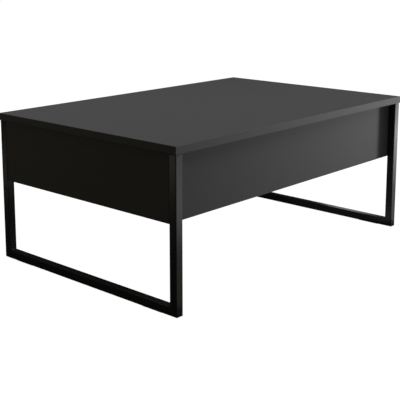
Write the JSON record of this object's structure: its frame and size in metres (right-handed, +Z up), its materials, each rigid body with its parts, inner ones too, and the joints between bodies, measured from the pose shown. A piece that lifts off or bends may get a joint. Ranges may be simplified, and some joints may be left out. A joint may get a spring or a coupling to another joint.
{
  "type": "lift top coffee table",
  "caption": "Low rectangular coffee table: a panelled storage box between black U-shaped tube frames, under a flat lid that rises and moves forward on parallel arms.",
  "frame": {"origin": "centre of the footprint, on the floor", "axes": "+X along the table's length to the right, +Y to the back, +Z up; the lid comes forward to -Y"},
  "size_m": [0.9, 0.6, 0.37],
  "materials": {
    "lid_melamine": "matt melamine, anthracite",
    "lid_edging": "satin edging, anthracite",
    "panel_melamine": "matt melamine, anthracite",
    "panel_edging": "satin edging, anthracite",
    "bottom_melamine": "matt melamine, anthracite",
    "frame_paint": "satin black powder coat",
    "lift_paint": "black powder coat",
    "zinc_plate": "zinc plated",
    "pin_steel": "bright zinc plated",
    "spring_steel": "oiled spring steel",
    "nylon": "natural nylon",
    "cap_plastic": "black moulded plastic",
    "glide_rubber": "black rubber pad",
    "bumper_rubber": "black rubber",
    "stop_rubber": "black rubber sleeve",
    "beech": "plain beech"
  },
  "bodies": {
    "box": {"left_front_leg": "frame_paint", "left_rear_leg": "frame_paint", "left_floor_rail": "frame_paint", "right_front_leg": "frame_paint", "right_rear_leg": "frame_paint", "right_floor_rail": "frame_paint", "panel_lugs": "frame_paint", "lug_screws": "zinc_plate", "leg_caps": "cap_plastic", "floor_glides": "glide_rubber", "front_panel": "panel_melamine", "back_panel": "panel_melamine", "left_end_panel": "panel_melamine", "right_end_panel": "panel_melamine", "bottom_board": "bottom_melamine", "panel_edge_bands": "panel_edging", "cam_locks": "zinc_plate", "cam_bolts": "zinc_plate", "corner_dowels": "beech", "lid_bumpers": "bumper_rubber", "left_base_bracket": "lift_paint", "right_base_bracket": "lift_paint", "base_bracket_screws": "zinc_plate", "left_rear_base_pin": "pin_steel", "left_front_base_pin": "pin_steel", "right_rear_base_pin": "pin_steel", "right_front_base_pin": "pin_steel", "base_pin_spacers": "nylon", "left_spring_bush": "nylon", "right_spring_bush": "nylon", "left_lift_spring": "spring_steel", "right_lift_spring": "spring_steel", "open_stops": "stop_rubber"},
    "rear_arms": {"left_rear_arm": "lift_paint", "right_rear_arm": "lift_paint", "cross_bar": "lift_paint", "cross_bar_bolts": "zinc_plate"},
    "left_front_arm": {"left_front_arm": "lift_paint"},
    "right_front_arm": {"right_front_arm": "lift_paint"},
    "lid": {"lid_board": "lid_melamine", "lid_edge_bands": "lid_edging", "left_lid_bracket": "lift_paint", "right_lid_bracket": "lift_paint", "lid_bracket_screws": "zinc_plate", "left_rear_lid_pin": "pin_steel", "left_front_lid_pin": "pin_steel", "right_rear_lid_pin": "pin_steel", "right_front_lid_pin": "pin_steel", "lid_pin_spacers": "nylon"}
  },
  "joints": [
    {"name": "lid_lift", "type": "hinge", "parent": "box", "child": "rear_arms", "pos_m": [0, -0.035, 0.255], "axis": [1, 0, 0], "range_deg": [0, 110]},
    {"name": "left_front_arm_swing", "type": "hinge", "parent": "box", "child": "left_front_arm", "pos_m": [-0.419, -0.185, 0.275], "axis": [1, 0, 0], "range_deg": [0, 110]},
    {"name": "right_front_arm_swing", "type": "hinge", "parent": "box", "child": "right_front_arm", "pos_m": [0.419, -0.185, 0.275], "axis": [1, 0, 0], "range_deg": [0, 110]},
    {"name": "lid_level", "type": "hinge", "parent": "rear_arms", "child": "lid", "pos_m": [0, 0.16196, 0.28973], "axis": [1, 0, 0], "range_deg": [-110, 0]}
  ],
  "couplings": [
    {"joint": "left_front_arm_swing", "follows": "lid_lift", "ratio": 1},
    {"joint": "right_front_arm_swing", "follows": "lid_lift", "ratio": 1},
    {"joint": "lid_level", "follows": "lid_lift", "ratio": -1}
  ]
}
